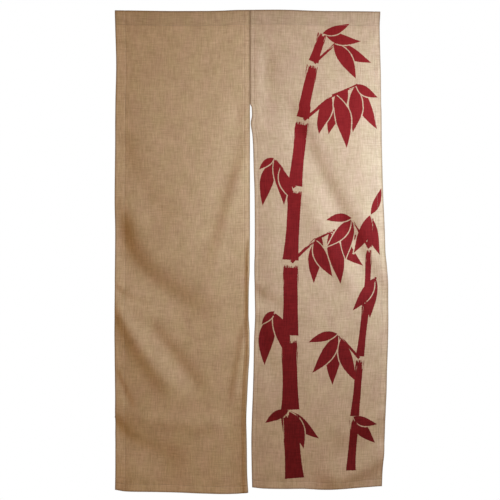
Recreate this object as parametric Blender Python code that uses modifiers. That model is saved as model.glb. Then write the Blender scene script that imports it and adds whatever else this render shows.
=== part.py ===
"""Noren: a two-panel doorway curtain of linen-look cloth, 0.85 m wide with a 1.5 m drop, as it hangs.

The origin is on the top edge at the centre seam. +X runs to the viewer's right, +Z is up, and the printed face
looks along -Y. Each panel is one length of cloth: it rises from its foot hem, folds over the top and comes down
the back as far as the stitch line of the rod sleeve. The two panels are sewn to each other down to the slit.
"""

import math
from collections import namedtuple

import bpy
import numpy as np

MM = 0.001

# Cloth and make
CLOTH = 1.5 * MM
HEM_CLOTH = 2.5 * MM
FOOT_HEM = 26 * MM
HEM_STEP = 3 * MM
SEAM_GAP = 0.3 * MM
NOMINAL_DROP = 1500 * MM
SLIT_TOP = 295 * MM

# The rod sleeve, a teardrop that is round at the top and closes at its stitch line
SLEEVE_DROP = 45 * MM
SLEEVE_HALF = 10 * MM
SLEEVE_FRONT_SHARE = 0.35
SLEEVE_BACK_SHARE = 1.4
FLAP_BACK = 3.7 * MM
FLAP_END = 55 * MM
ALLOWANCE_TOP = 46.5 * MM
ALLOWANCE_FOOT = 52.5 * MM
ALLOWANCE_FACE = 1.2 * MM
ALLOWANCE_CLOTH = 1.3 * MM

# How finely a panel is divided
INNER_COLUMNS = 22
INNER_ROWS = 72

CLOTH_COLOUR = (0.38, 0.26, 0.15, 1.0)
CLOTH_ROUGHNESS = 0.9

# Outlines, in millimetres. An edge row gives where a panel's two sides are at that drop below the top edge.
Edge = namedtuple("Edge", "drop left right")
LEFT_EDGES = [
    Edge(0, -419.0, 0.0),
    Edge(50, -418.0, 0.0),
    Edge(170, -415.0, 0.0),
    Edge(280, -417.5, 0.0),
    Edge(420, -419.0, 0.0),
    Edge(650, -420.6, 0.0),
    Edge(800, -420.4, -0.3),
    Edge(870, -420.2, -3.0),
    Edge(945, -420.0, -3.8),
    Edge(1010, -420.6, -0.6),
    Edge(1060, -420.0, -0.6),
    Edge(1130, -419.5, -4.5),
    Edge(1210, -418.5, -8.6),
    Edge(1275, -419.2, -11.2),
    Edge(1320, -419.4, -10.0),
    Edge(1360, -418.4, -9.2),
    Edge(1430, -418.0, -8.5),
    Edge(1500, -419.0, -4.8),
]
RIGHT_EDGES = [
    Edge(0, 0.0, 404.0),
    Edge(50, 0.0, 402.0),
    Edge(200, 0.0, 407.5),
    Edge(295, 0.0, 409.0),
    Edge(306, 5.0, 409.8),
    Edge(330, 6.0, 410.3),
    Edge(356, 2.2, 410.6),
    Edge(392, 7.2, 410.9),
    Edge(430, 9.6, 411.6),
    Edge(500, 11.4, 413.3),
    Edge(575, 14.0, 415.6),
    Edge(690, 14.8, 420.6),
    Edge(760, 14.6, 422.0),
    Edge(805, 13.2, 426.2),
    Edge(870, 14.3, 429.7),
    Edge(955, 15.7, 429.7),
    Edge(1040, 12.4, 428.6),
    Edge(1130, 10.8, 425.5),
    Edge(1200, 8.8, 424.0),
    Edge(1280, 5.8, 420.2),
    Edge(1360, 4.0, 417.6),
    Edge(1430, 4.9, 412.4),
    Edge(1500, 6.5, 410.0),
]

# The top edge's rise over the origin, and how far below the origin each panel's foot hangs
Level = namedtuple("Level", "x height")
TOP_LEVELS = [
    Level(-420, -1.4),
    Level(-335, -2.5),
    Level(-236, -3.7),
    Level(-137, -3.5),
    Level(-87, -2.5),
    Level(-37, -0.4),
    Level(0, 0.0),
    Level(86, 0.5),
    Level(136, -0.5),
    Level(186, -2.5),
    Level(240, -3.9),
    Level(320, -4.3),
    Level(404, -5.4),
]
LEFT_FOOT = [
    Level(-420, 1488.5),
    Level(-385, 1493.5),
    Level(-300, 1495.0),
    Level(-225, 1496.5),
    Level(-150, 1499.5),
    Level(-75, 1501.0),
    Level(-40, 1499.8),
    Level(0, 1494.5),
]
RIGHT_FOOT = [
    Level(0, 1480.0),
    Level(45, 1484.5),
    Level(110, 1485.5),
    Level(160, 1485.0),
    Level(220, 1487.5),
    Level(290, 1485.0),
    Level(350, 1481.0),
    Level(415, 1478.0),
]

# A fold runs down through three points, each (x, drop). Its half width goes from one size to the other along it,
# ease is how many times wider its left side is, and a positive lift is a ridge towards the viewer, a negative one
# a trough.
Fold = namedtuple("Fold", "start middle end width_start width_end ease lift")
LEFT_FOLDS = [
    Fold((-405, 340), (-362, 525), (-225, 690), 36, 50, 1.4, -7.0),
    Fold((-397, 588), (-354, 806), (-90, 970), 32, 58, 1.5, -23.0),
    Fold((-430, 845), (-388, 893), (-300, 918), 10, 15, 1.3, -3.8),
    Fold((-422, 890), (-337, 1052), (-207, 1206), 20, 35, 1.1, 14.0),
    Fold((-332, 950), (-247, 1068), (-128, 1215), 24, 32, 1.0, -8.5),
    Fold((-430, 1110), (-395, 1180), (-360, 1255), 11, 14, 1.4, -4.0),
    Fold((-440, 1254), (-363, 1352), (-180, 1422), 20, 52, 1.5, -14.5),
    Fold((-400, 1262), (-220, 1282), (-40, 1282), 26, 26, 1.0, 6.0),
    Fold((-12, 270), (-62, 480), (-155, 815), 22, 38, 1.5, -5.5),
    Fold((0, 430), (-68, 622), (-120, 876), 18, 30, 1.0, 4.0),
    Fold((-8, 945), (-31, 1090), (-56, 1228), 12, 15, 1.0, 5.0),
    Fold((-80, 1340), (-95, 1430), (-90, 1540), 26, 30, 1.0, 2.4),
    Fold((-2, 690), (-6, 900), (-3, 1150), 6, 6, 1.0, 8.0),
    Fold((-3, 1010), (-12, 1290), (-7, 1640), 8, 11, 1.0, 7.5),
]
RIGHT_FOLDS = [
    Fold((36, 45), (16, 170), (4, 340), 20, 22, 1.0, 3.5),
    Fold((50, 45), (50, 180), (62, 400), 26, 32, 1.0, -6.5),
    Fold((52, 190), (269, 611), (446, 980), 34, 28, 1.3, -15.5),
    Fold((160, 540), (238, 715), (340, 900), 30, 30, 1.2, 7.5),
    Fold((60, 540), (66, 700), (58, 860), 26, 26, 1.2, 2.0),
    Fold((-15, 852), (42, 905), (125, 942), 16, 24, 1.5, -6.5),
    Fold((20, 940), (50, 1070), (88, 1200), 20, 24, 1.2, -3.0),
    Fold((440, 1240), (362, 1302), (240, 1345), 20, 26, 1.0, 6.0),
    Fold((440, 1368), (352, 1434), (190, 1478), 30, 40, 1.0, 20.5),
    Fold((402, -20), (399, 150), (408, 400), 5, 6, 1.0, 3.0),
]

# How far a panel's side curls back, away from the viewer, over its reach in from the edge. Less than nothing is
# towards the viewer.
Curl = namedtuple("Curl", "drop left_back right_back")
LEFT_CURLS = [
    Curl(0, 0, 0),
    Curl(400, 3, 1),
    Curl(700, 5, 0),
    Curl(1000, 2, -3),
    Curl(1300, 3, -6),
    Curl(1500, 4, -4),
]
RIGHT_CURLS = [
    Curl(0, 0, 0),
    Curl(60, 0, 4),
    Curl(200, 0, 15),
    Curl(400, 0, 24),
    Curl(650, 2, 26),
    Curl(780, 3, 16),
    Curl(880, 3, 8),
    Curl(1000, 1, 4),
    Curl(1300, 0, 5),
    Curl(1500, 2, 8),
]
CURL_REACH = 80 * MM

Panel = namedtuple("Panel", "name edges foot folds curls left_hem right_hem")
PANELS = [
    Panel("panel_left", LEFT_EDGES, LEFT_FOOT, LEFT_FOLDS, LEFT_CURLS, 34 * MM, 20 * MM),
    Panel("panel_right", RIGHT_EDGES, RIGHT_FOOT, RIGHT_FOLDS, RIGHT_CURLS, 15 * MM, 22 * MM),
]

# The cloth hangs plain inside the sleeve and by the centre seam, and its folds grow over these lengths
FOLDS_BEGIN = 60 * MM
FOLDS_FULL = 170 * MM
SEAM_HOLDS = 45 * MM
SEAM_LETS_GO = 90 * MM
FOLD_STEPS = 28
FOLD_FADE = 0.22


def smooth_step(value):
    """0 below 0, 1 above 1, and a soft S between."""
    share = np.clip(value, 0.0, 1.0)
    return share * share * (3 - 2 * share)


def smooth_line(at, known, heights):
    """The value at each place on a smooth curve through known points, which never swings past them."""
    at, known, heights = (np.asarray(numbers, float) for numbers in (at, known, heights))
    slopes = np.diff(heights) / np.diff(known)
    same_way = slopes[:-1] * slopes[1:] > 0
    inner = np.where(same_way, 2 * slopes[:-1] * slopes[1:] / (slopes[:-1] + slopes[1:] + 1e-12), 0.0)
    tangents = np.concatenate([[slopes[0]], inner, [slopes[-1]]])
    place = np.clip(np.searchsorted(known, at) - 1, 0, len(known) - 2)
    span = known[place + 1] - known[place]
    t = np.clip((at - known[place]) / span, 0.0, 1.0)
    return (
        heights[place] * (1 + 2 * t) * (1 - t) ** 2
        + heights[place + 1] * t * t * (3 - 2 * t)
        + span * tangents[place] * t * (1 - t) ** 2
        - span * tangents[place + 1] * t * t * (1 - t)
    )


def column_of(table, name):
    """One named column of a table in millimetres, in metres."""
    return np.array([getattr(row, name) for row in table]) * MM


def fold_lift(x, drop, fold):
    """How far one fold moves the cloth towards the viewer at each point."""
    t = np.linspace(0, 1, FOLD_STEPS)
    through = [(1 - t) * (1 - 2 * t), 4 * t * (1 - t), t * (2 * t - 1)]
    ends = [fold.start, fold.middle, fold.end]
    line_x = sum(share * point[0] for share, point in zip(through, ends)) * MM
    line_drop = sum(share * point[1] for share, point in zip(through, ends)) * MM
    nearest, along = np.full(x.shape, np.inf), np.zeros(x.shape)
    on_left = np.zeros(x.shape, bool)
    for i in range(FOLD_STEPS - 1):
        step_x, step_drop = line_x[i + 1] - line_x[i], line_drop[i + 1] - line_drop[i]
        reach = (x - line_x[i]) * step_x + (drop - line_drop[i]) * step_drop
        share = np.clip(reach / (step_x**2 + step_drop**2), 0, 1)
        aside, below = x - line_x[i] - share * step_x, drop - line_drop[i] - share * step_drop
        away = np.hypot(aside, below)
        along = np.where(away < nearest, (i + share) / (FOLD_STEPS - 1), along)
        on_left = np.where(away < nearest, step_x * below > step_drop * aside, on_left)
        nearest = np.minimum(away, nearest)
    half_width = (fold.width_start + (fold.width_end - fold.width_start) * along) * MM
    half_width = half_width * np.where(on_left, fold.ease, 1.0)
    fade = smooth_step(along / FOLD_FADE) * smooth_step((1 - along) / FOLD_FADE)
    return fold.lift * MM * fade * np.exp(-((nearest / half_width) ** 2))


def curl_back(x, drop, left, right, curls):
    """How far the cloth's sides curl away from the viewer at each point."""
    known = column_of(curls, "drop")
    from_left = smooth_step(1 - (x - left) / CURL_REACH) ** 1.5
    from_right = smooth_step(1 - (right - x) / CURL_REACH) ** 1.5
    left_back = smooth_line(drop, known, column_of(curls, "left_back"))
    right_back = smooth_line(drop, known, column_of(curls, "right_back"))
    return from_left * left_back + from_right * right_back


def hang_depth(x, drop, left, right, panel):
    """The cloth's place along Y below the sleeve, at each point."""
    lift = sum(fold_lift(x, drop, fold) for fold in panel.folds)
    depth = curl_back(x, drop, left, right, panel.curls) - lift
    free_of_sleeve = smooth_step((drop - FOLDS_BEGIN) / (FOLDS_FULL - FOLDS_BEGIN))
    free_of_seam = smooth_step((drop - SLIT_TOP) / SEAM_LETS_GO)
    away_from_seam = smooth_step((np.abs(x) - 2 * MM) / SEAM_HOLDS)
    return depth * free_of_sleeve * np.maximum(free_of_seam, away_from_seam)


def sleeve_half_width(drop):
    """Half the width of the teardrop at a drop below the top edge."""
    if drop >= SLEEVE_DROP:
        return 0.0
    if drop <= SLEEVE_HALF:
        return math.sqrt(SLEEVE_HALF**2 - (SLEEVE_HALF - drop) ** 2)
    share = (drop - SLEEVE_HALF) / (SLEEVE_DROP - SLEEVE_HALF)
    return SLEEVE_HALF * (0.5 + 0.5 * math.cos(math.pi * share))


def front_depth(drop):
    return -SLEEVE_FRONT_SHARE * sleeve_half_width(drop)


def back_depth(drop):
    closing = float(smooth_step(drop / SLEEVE_DROP))
    return SLEEVE_BACK_SHARE * sleeve_half_width(drop) + FLAP_BACK * closing


def cloth_rows():
    """(layer, drop) of each row of the cloth, from the foot up the front, over the top and down the back."""
    sleeve = [1.0 * MM, 4.5 * MM, 10 * MM, 20 * MM, 32 * MM, SLEEVE_DROP]
    below = np.linspace(FLAP_END + 4 * MM, NOMINAL_DROP - FOOT_HEM - HEM_STEP, INNER_ROWS)
    front = [0.0, *sleeve, *below, NOMINAL_DROP - FOOT_HEM, NOMINAL_DROP]
    back = [*sleeve, FLAP_END]
    return [("front", drop) for drop in reversed(front)] + [("back", drop) for drop in back]


def cloth_columns(panel):
    """Places across a panel as shares of its width, with a step where each side hem ends."""
    width = (panel.edges[0].right - panel.edges[0].left) * MM
    left, right = panel.left_hem / width, 1 - panel.right_hem / width
    step = HEM_STEP / width
    return [0.0, left, *np.linspace(left + step, right - step, INNER_COLUMNS + 1), right, 1.0]


def place_on_panel(share, drop, panel):
    """(x, z, left, right) of each point, from its share of the width and its drop."""
    known = column_of(panel.edges, "drop")
    left = smooth_line(drop, known, column_of(panel.edges, "left"))
    right = smooth_line(drop, known, column_of(panel.edges, "right"))
    joined = 1 - smooth_step((drop - SLIT_TOP) / (10 * MM))
    left, right = (
        (left, right - joined * SEAM_GAP / 2)
        if panel.name == "panel_left"
        else (left + joined * SEAM_GAP / 2, right)
    )
    x = left + share * (right - left)
    top = smooth_line(x, column_of(TOP_LEVELS, "x"), column_of(TOP_LEVELS, "height"))
    foot = smooth_line(x, column_of(panel.foot, "x"), column_of(panel.foot, "height"))
    return x, top - drop * (foot + top) / NOMINAL_DROP, left, right


def shaped_grid(name, columns, rows, panel, depth_of_row):
    """A grid whose columns run across the panel and whose rows follow the cloth, in place."""
    bpy.ops.mesh.primitive_grid_add(x_subdivisions=len(columns) - 1, y_subdivisions=len(rows) - 1, size=1)
    grid = bpy.context.object
    grid.name = grid.data.name = name
    flat = np.empty(len(grid.data.vertices) * 3)
    grid.data.vertices.foreach_get("co", flat)
    flat = flat.reshape(-1, 3) + 0.5
    column = np.rint(flat[:, 0] * (len(columns) - 1)).astype(int)
    row = np.rint(flat[:, 1] * (len(rows) - 1)).astype(int)
    share = np.array(columns)[column]
    drop = np.array([drop for _, drop in rows])[row]
    x, z, left, right = place_on_panel(share, drop, panel)
    y = np.array([depth_of_row(layer, drop) for layer, drop in rows])[row]
    y = y + hang_depth(x, drop, left, right, panel)
    grid.data.vertices.foreach_set("co", np.column_stack([x, y, z]).ravel())
    grid.data.update()
    return grid, column, row


def add_thickness(grid, weights):
    """Solidify towards the back: one layer of cloth, and the thicker fold of the hems."""
    halves = grid.modifiers.new("halves", "TRIANGULATE")
    halves.quad_method = "SHORTEST_DIAGONAL"
    group = grid.vertex_groups.new(name="layers")
    for index, weight in enumerate(weights):
        group.add([index], float(weight), "REPLACE")
    solid = grid.modifiers.new("cloth", "SOLIDIFY")
    solid.thickness = HEM_CLOTH
    solid.offset = -1
    solid.vertex_group = group.name
    return solid


def cloth_of(panel):
    """A panel's whole cloth as one folded layer."""
    columns, rows = cloth_columns(panel), cloth_rows()
    depths = {"front": front_depth, "back": back_depth}
    grid, column, row = shaped_grid(panel.name, columns, rows, panel, lambda layer, drop: depths[layer](drop))
    below_sleeve = np.array([layer == "front" and drop > FLAP_END for layer, drop in rows])[row]
    in_side_hem = (column <= 1) | (column >= len(columns) - 2)
    in_foot_hem = row <= 1
    add_thickness(grid, np.where(below_sleeve & (in_side_hem | in_foot_hem), 1.0, CLOTH / HEM_CLOTH))
    return grid


def turned_under_edge(panel):
    """The allowance that is turned under at the end of the sleeve's flap, where the stitches hold both layers."""
    margin = 0.01
    columns = list(np.linspace(margin, 1 - margin, INNER_COLUMNS + 1))
    rows = [("front", ALLOWANCE_FOOT), ("front", ALLOWANCE_TOP)]
    strip, _, _ = shaped_grid(panel.name + "_allowance", columns, rows, panel, lambda layer, drop: ALLOWANCE_FACE)
    solid = strip.modifiers.new("cloth", "SOLIDIFY")
    solid.thickness = ALLOWANCE_CLOTH
    solid.offset = -1
    return strip


def sewn(cloth, allowance):
    """The cloth and its turned-under edge as one closed solid, with the sleeve left open from side to side."""
    union = cloth.modifiers.new("stitched", "BOOLEAN")
    union.operation = "UNION"
    union.object = allowance
    allowance.hide_render = True
    allowance.display_type = "WIRE"
    return cloth


def cloth_material():
    material = bpy.data.materials.new("linen_look_cloth")
    material.use_nodes = True
    shader = material.node_tree.nodes["Principled BSDF"]
    shader.inputs["Base Color"].default_value = CLOTH_COLOUR
    shader.inputs["Roughness"].default_value = CLOTH_ROUGHNESS
    shader.inputs["Metallic"].default_value = 0.0
    return material


def in_collection(name, objects):
    collection = bpy.data.collections.new(name)
    bpy.context.scene.collection.children.link(collection)
    for member in objects:
        for holder in list(member.users_collection):
            holder.objects.unlink(member)
        collection.objects.link(member)


def build():
    for old in list(bpy.data.objects):
        bpy.data.objects.remove(old)
    cloth = cloth_material()
    panels, allowances = [], []
    for panel in PANELS:
        grid = cloth_of(panel)
        grid.data.materials.append(cloth)
        grid.data.shade_smooth()
        allowances.append(turned_under_edge(panel))
        panels.append(sewn(grid, allowances[-1]))
    in_collection("noren", panels)
    in_collection("helpers", allowances)


build()
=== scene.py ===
# %% [markdown]
# # A split doorway curtain of linen-look cloth
#
# The curtain is two lengths of cloth, sewn to each other for the first 295 mm and free below, so that a
# visitor can part them and walk through. A rod would pass through the sleeve along the head. The right
# panel carries bamboo, painted with a broad brush in crimson.
#
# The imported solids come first. They are the frame: every piece made below hangs exactly where they hang.

# %% Load the frame
import math
from collections import namedtuple

import bpy
import numpy as np
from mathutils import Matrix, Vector, noise


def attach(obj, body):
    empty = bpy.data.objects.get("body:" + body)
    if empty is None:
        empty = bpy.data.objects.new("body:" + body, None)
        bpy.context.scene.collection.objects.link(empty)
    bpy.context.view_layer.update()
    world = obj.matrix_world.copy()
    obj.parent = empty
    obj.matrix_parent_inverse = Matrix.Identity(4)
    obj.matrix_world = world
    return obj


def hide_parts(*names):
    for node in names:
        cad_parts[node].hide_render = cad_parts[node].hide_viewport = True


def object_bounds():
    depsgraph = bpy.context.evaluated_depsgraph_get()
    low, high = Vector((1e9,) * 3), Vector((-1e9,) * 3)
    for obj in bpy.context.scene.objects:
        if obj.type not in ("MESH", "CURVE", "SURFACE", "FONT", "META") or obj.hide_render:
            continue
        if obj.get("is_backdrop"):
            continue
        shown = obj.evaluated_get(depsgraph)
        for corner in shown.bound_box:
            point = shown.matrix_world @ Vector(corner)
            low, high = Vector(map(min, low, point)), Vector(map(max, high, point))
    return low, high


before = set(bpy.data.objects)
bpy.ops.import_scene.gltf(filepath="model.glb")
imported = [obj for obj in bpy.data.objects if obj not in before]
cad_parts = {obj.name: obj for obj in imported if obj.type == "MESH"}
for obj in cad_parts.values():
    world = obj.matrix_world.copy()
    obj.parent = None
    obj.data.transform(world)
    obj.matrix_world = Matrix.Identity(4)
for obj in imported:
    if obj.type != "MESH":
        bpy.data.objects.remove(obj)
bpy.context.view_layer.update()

# %% [markdown]
# ## The sizes of the make
#
# A seamstress would know this curtain by a few sizes: how thick the cloth is, how wide each hem is turned,
# how far below the head the sleeve is stitched. They are kept in metres and named once, because the cloth,
# the stitching and the surface all need them.

# %% Cloth, hems and sleeve
MM = 0.001

CLOTH = 0.8 * MM
HEM_CLOTH = 1.9 * MM
FOOT_HEM = 26 * MM
STITCH_INSET = 2.5 * MM
GROOVE_DEPTH = 0.5 * MM
GROOVE_HALF = 1.6 * MM
# How far painted shade reaches in from an edge, and how strong it is in a stitch groove.
EDGE_SHADE_REACH = 6 * MM
GROOVE_SHADE = 0.35

NOMINAL_DROP = 1500 * MM
SLIT_TOP = 295 * MM
SLEEVE_DROP = 45 * MM
SLEEVE_HALF = 10 * MM
SLEEVE_FRONT_SHARE = 0.35
SLEEVE_BACK_SHARE = 1.4
FLAP_BACK = 2.9 * MM
FLAP_END = 55 * MM
FLAP_DOUBLE_FROM = 41 * MM

print("The foot's hem is", FOOT_HEM / MM, "mm wide, and the sleeve is stitched", SLEEVE_DROP / MM, "mm down")

# %% [markdown]
# ## The outline, read as rows
#
# Hung cloth is never a rectangle. Its sides wander by a few millimetres and its foot dips where it
# stretched. A row for each turn of an edge is enough, with a smooth curve between the rows. Tracing the
# edge point by point would only add noise.

# %% Tables of the outline, in millimetres
Edge = namedtuple("Edge", "drop left right")
LEFT_EDGES = [
    Edge(0, -419.0, 0.0),
    Edge(50, -418.0, 0.0),
    Edge(170, -415.0, 0.0),
    Edge(280, -417.5, 0.0),
    Edge(420, -419.0, 0.0),
    Edge(650, -420.6, 0.0),
    Edge(800, -420.4, -0.3),
    Edge(870, -420.2, -3.0),
    Edge(945, -420.0, -3.8),
    Edge(1010, -420.6, -0.6),
    Edge(1060, -420.0, -0.6),
    Edge(1130, -419.5, -4.5),
    Edge(1210, -418.5, -8.6),
    Edge(1275, -419.2, -11.2),
    Edge(1320, -419.4, -10.0),
    Edge(1360, -418.4, -9.2),
    Edge(1430, -418.0, -8.5),
    Edge(1500, -419.0, -4.8),
]
RIGHT_EDGES = [
    Edge(0, 0.0, 404.0),
    Edge(50, 0.0, 402.0),
    Edge(200, 0.0, 407.5),
    Edge(295, 0.0, 409.0),
    Edge(306, 5.0, 409.8),
    Edge(330, 6.0, 410.3),
    Edge(356, 2.2, 410.6),
    Edge(392, 7.2, 410.9),
    Edge(430, 9.6, 411.6),
    Edge(500, 11.4, 413.3),
    Edge(575, 14.0, 415.6),
    Edge(690, 14.8, 420.6),
    Edge(760, 14.6, 422.0),
    Edge(805, 13.2, 426.2),
    Edge(870, 14.3, 429.7),
    Edge(955, 15.7, 429.7),
    Edge(1040, 12.4, 428.6),
    Edge(1130, 10.8, 425.5),
    Edge(1200, 8.8, 424.0),
    Edge(1280, 5.8, 420.2),
    Edge(1360, 4.0, 417.6),
    Edge(1430, 4.9, 412.4),
    Edge(1500, 6.5, 410.0),
]

Level = namedtuple("Level", "x height")
TOP_LEVELS = [
    Level(-420, -1.4),
    Level(-335, -2.5),
    Level(-236, -3.7),
    Level(-137, -3.5),
    Level(-87, -2.5),
    Level(-37, -0.4),
    Level(0, 0.0),
    Level(86, 0.5),
    Level(136, -0.5),
    Level(186, -2.5),
    Level(240, -3.9),
    Level(320, -4.3),
    Level(404, -5.4),
]
LEFT_FOOT = [
    Level(-420, 1488.5),
    Level(-385, 1493.5),
    Level(-300, 1495.0),
    Level(-225, 1496.5),
    Level(-150, 1499.5),
    Level(-75, 1501.0),
    Level(-40, 1499.8),
    Level(0, 1494.5),
]
RIGHT_FOOT = [
    Level(0, 1480.0),
    Level(45, 1484.5),
    Level(110, 1485.5),
    Level(160, 1485.0),
    Level(220, 1487.5),
    Level(290, 1485.0),
    Level(350, 1481.0),
    Level(415, 1478.0),
]
print(len(LEFT_EDGES) + len(RIGHT_EDGES), "rows give the four sides of the panels")

# %% [markdown]
# ## The folds, read as rows
#
# Most folds start where the cloth is held, or at a corner that was folded in the packet, and run down and
# across until they fade. So a row says where a fold starts, passes and ends, how wide it is at each end,
# how many times wider it is on its left side, where many folds ease off more slowly, and how far it stands
# out. More than nothing is a ridge, less is a trough. The sides also curl: the right one turns back,
# furthest at 650 mm down, and the left panel's edge of the slit comes forward near the foot.

# %% Tables of the folds and curls, in millimetres
Fold = namedtuple("Fold", "start middle end width_start width_end ease lift")
LEFT_FOLDS = [
    Fold((-405, 340), (-362, 525), (-225, 690), 36, 50, 1.4, -7.0),
    Fold((-397, 588), (-354, 806), (-90, 970), 32, 58, 1.5, -23.0),
    Fold((-430, 845), (-388, 893), (-300, 918), 10, 15, 1.3, -3.8),
    Fold((-422, 890), (-337, 1052), (-207, 1206), 20, 35, 1.1, 14.0),
    Fold((-332, 950), (-247, 1068), (-128, 1215), 24, 32, 1.0, -8.5),
    Fold((-430, 1110), (-395, 1180), (-360, 1255), 11, 14, 1.4, -4.0),
    Fold((-440, 1254), (-363, 1352), (-180, 1422), 20, 52, 1.5, -14.5),
    Fold((-400, 1262), (-220, 1282), (-40, 1282), 26, 26, 1.0, 6.0),
    Fold((-12, 270), (-62, 480), (-155, 815), 22, 38, 1.5, -5.5),
    Fold((0, 430), (-68, 622), (-120, 876), 18, 30, 1.0, 4.0),
    Fold((-8, 945), (-31, 1090), (-56, 1228), 12, 15, 1.0, 5.0),
    Fold((-80, 1340), (-95, 1430), (-90, 1540), 26, 30, 1.0, 2.4),
    Fold((-2, 690), (-6, 900), (-3, 1150), 6, 6, 1.0, 8.0),
    Fold((-3, 1010), (-12, 1290), (-7, 1640), 8, 11, 1.0, 7.5),
]
RIGHT_FOLDS = [
    Fold((36, 45), (16, 170), (4, 340), 20, 22, 1.0, 3.5),
    Fold((50, 45), (50, 180), (62, 400), 26, 32, 1.0, -6.5),
    Fold((52, 190), (269, 611), (446, 980), 34, 28, 1.3, -15.5),
    Fold((160, 540), (238, 715), (340, 900), 30, 30, 1.2, 7.5),
    Fold((60, 540), (66, 700), (58, 860), 26, 26, 1.2, 2.0),
    Fold((-15, 852), (42, 905), (125, 942), 16, 24, 1.5, -6.5),
    Fold((20, 940), (50, 1070), (88, 1200), 20, 24, 1.2, -3.0),
    Fold((440, 1240), (362, 1302), (240, 1345), 20, 26, 1.0, 6.0),
    Fold((440, 1368), (352, 1434), (190, 1478), 30, 40, 1.0, 20.5),
    Fold((402, -20), (399, 150), (408, 400), 5, 6, 1.0, 3.0),
]

Curl = namedtuple("Curl", "drop left_back right_back")
LEFT_CURLS = [
    Curl(0, 0, 0),
    Curl(400, 3, 1),
    Curl(700, 5, 0),
    Curl(1000, 2, -3),
    Curl(1300, 3, -6),
    Curl(1500, 4, -4),
]
RIGHT_CURLS = [
    Curl(0, 0, 0),
    Curl(60, 0, 4),
    Curl(200, 0, 15),
    Curl(400, 0, 24),
    Curl(650, 2, 26),
    Curl(780, 3, 16),
    Curl(880, 3, 8),
    Curl(1000, 1, 4),
    Curl(1300, 0, 5),
    Curl(1500, 2, 8),
]
CURL_REACH = 80 * MM

Panel = namedtuple("Panel", "name edges foot folds curls left_hem right_hem")
PANELS = [
    Panel("panel_left", LEFT_EDGES, LEFT_FOOT, LEFT_FOLDS, LEFT_CURLS, 34 * MM, 20 * MM),
    Panel("panel_right", RIGHT_EDGES, RIGHT_FOOT, RIGHT_FOLDS, RIGHT_CURLS, 15 * MM, 22 * MM),
]
print(len(LEFT_FOLDS), "folds on the left panel,", len(RIGHT_FOLDS), "on the right")

# %% [markdown]
# ## From tables to a surface
#
# A smooth curve through the rows must not swing past them, or a straight edge would bulge between two rows.
# The slope at each row is therefore the harmonic mean of the slopes on either side, and level wherever they
# disagree. A fold is a soft bell across its own line. Measuring each point's distance to that line keeps
# the bell even where the fold bends.

# %% Smooth steps and lines
TINY = 1e-12


def smooth_step(value):
    """0 below 0, 1 above 1, and a soft S between."""
    share = np.clip(value, 0.0, 1.0)
    return share * share * (3 - 2 * share)


def smooth_line(at, known, heights):
    """The value at each place on a smooth curve through known points, which never swings past them."""
    at, known, heights = (np.asarray(numbers, float) for numbers in (at, known, heights))
    slopes = np.diff(heights) / np.diff(known)
    same_way = slopes[:-1] * slopes[1:] > 0
    inner = np.where(same_way, 2 * slopes[:-1] * slopes[1:] / (slopes[:-1] + slopes[1:] + TINY), 0.0)
    tangents = np.concatenate([[slopes[0]], inner, [slopes[-1]]])
    place = np.clip(np.searchsorted(known, at) - 1, 0, len(known) - 2)
    span = known[place + 1] - known[place]
    t = np.clip((at - known[place]) / span, 0.0, 1.0)
    return (
        heights[place] * (1 + 2 * t) * (1 - t) ** 2
        + heights[place + 1] * t * t * (3 - 2 * t)
        + span * tangents[place] * t * (1 - t) ** 2
        - span * tangents[place + 1] * t * t * (1 - t)
    )


def curve(table, at, name, key="drop"):
    """A table's named column, as a smooth curve over its key column, at each place. All in metres."""
    known, heights = (np.array([getattr(row, column) for row in table]) * MM for column in (key, name))
    return smooth_line(at, known, heights)


# %% One fold, and the curl of the sides
FOLD_STEPS = 28
FOLD_FADE = 0.22
CURL_TURN = 1.5


def fold_lift(x, drop, fold):
    """How far one fold moves the cloth towards the viewer at each point."""
    t = np.linspace(0, 1, FOLD_STEPS)
    through = [(1 - t) * (1 - 2 * t), 4 * t * (1 - t), t * (2 * t - 1)]
    ends = [fold.start, fold.middle, fold.end]
    line_x = sum(share * point[0] for share, point in zip(through, ends)) * MM
    line_drop = sum(share * point[1] for share, point in zip(through, ends)) * MM
    nearest, along = np.full(x.shape, np.inf), np.zeros(x.shape)
    on_left = np.zeros(x.shape, bool)
    for i in range(FOLD_STEPS - 1):
        step_x, step_drop = line_x[i + 1] - line_x[i], line_drop[i + 1] - line_drop[i]
        reach = (x - line_x[i]) * step_x + (drop - line_drop[i]) * step_drop
        share = np.clip(reach / (step_x**2 + step_drop**2), 0, 1)
        aside, below = x - line_x[i] - share * step_x, drop - line_drop[i] - share * step_drop
        away = np.hypot(aside, below)
        along = np.where(away < nearest, (i + share) / (FOLD_STEPS - 1), along)
        on_left = np.where(away < nearest, step_x * below > step_drop * aside, on_left)
        nearest = np.minimum(away, nearest)
    half_width = (fold.width_start + (fold.width_end - fold.width_start) * along) * MM
    half_width = half_width * np.where(on_left, fold.ease, 1.0)
    fade = smooth_step(along / FOLD_FADE) * smooth_step((1 - along) / FOLD_FADE)
    return fold.lift * MM * fade * np.exp(-((nearest / half_width) ** 2))


def curl_back(x, drop, left, right, curls):
    """How far the cloth's sides curl away from the viewer at each point."""
    from_left = smooth_step(1 - (x - left) / CURL_REACH) ** CURL_TURN
    from_right = smooth_step(1 - (right - x) / CURL_REACH) ** CURL_TURN
    return from_left * curve(curls, drop, "left_back") + from_right * curve(curls, drop, "right_back")


# %% [markdown]
# ## Small unevenness
#
# Between its folds the cloth is not flat either: it keeps faint waves a hand's width apart, and its hems,
# where three layers were stitched through, pucker and ripple. Smooth noise gives both. It is read from the
# cloth's own places, so the same cloth always ripples the same way.

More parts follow.
